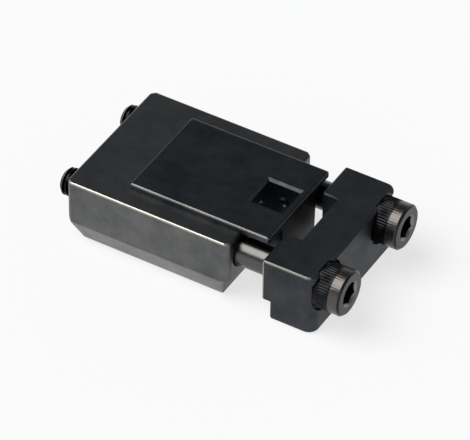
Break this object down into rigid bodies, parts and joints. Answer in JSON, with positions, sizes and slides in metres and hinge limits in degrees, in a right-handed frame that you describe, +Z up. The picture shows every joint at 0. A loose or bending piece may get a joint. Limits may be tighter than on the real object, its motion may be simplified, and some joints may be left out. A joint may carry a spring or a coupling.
{
  "type": "torque wrench adapter",
  "caption": "Steel clamp block with a sliding jaw on long socket screws that grips a hand wrench's shank, and a square drive hole on top for a torque wrench.",
  "frame": {"origin": "bottom centre of the whole part's bounding box, with the jaw at rest as pictured", "axes": "+X from the main body towards the jaw and the screw heads, -Y towards the picture's viewer, +Z up out of the square drive hole"},
  "size_m": [0.088, 0.0446, 0.0214],
  "materials": {
    "body_steel": "black oxide, satin, worn bright on the outer edges",
    "block_steel": "black oxide, satin",
    "screw_steel": "black oxide, oiled",
    "pin_steel": "ground bright"
  },
  "bodies": {
    "body": {"main_body": "body_steel", "drive_block": "block_steel", "block_screw_1": "screw_steel", "block_screw_2": "screw_steel", "block_screw_3": "screw_steel", "block_screw_4": "screw_steel", "dowel_pin_1": "pin_steel", "dowel_pin_2": "pin_steel"},
    "jaw": {"clamp_jaw": "body_steel"},
    "screw_front": {"cap_screw_front": "screw_steel"},
    "screw_rear": {"cap_screw_rear": "screw_steel"}
  },
  "joints": [
    {"name": "jaw_slide", "type": "slide", "parent": "body", "child": "jaw", "axis": [1, 0, 0], "range_m": [-0.006, 0.01]},
    {"name": "front_screw_turn", "type": "hinge", "parent": "jaw", "child": "screw_front", "pos_m": [0.04, -0.0153, 0.0129], "axis": [1, 0, 0], "range_deg": [-1728.5, 2880.5]},
    {"name": "rear_screw_turn", "type": "hinge", "parent": "jaw", "child": "screw_rear", "pos_m": [0.04, 0.0153, 0.0129], "axis": [1, 0, 0], "range_deg": [-1728.5, 2880.5]}
  ],
  "couplings": [
    {"joint": "front_screw_turn", "follows": "jaw_slide", "rad_per_m": 5026.5},
    {"joint": "rear_screw_turn", "follows": "jaw_slide", "rad_per_m": 5026.5}
  ]
}
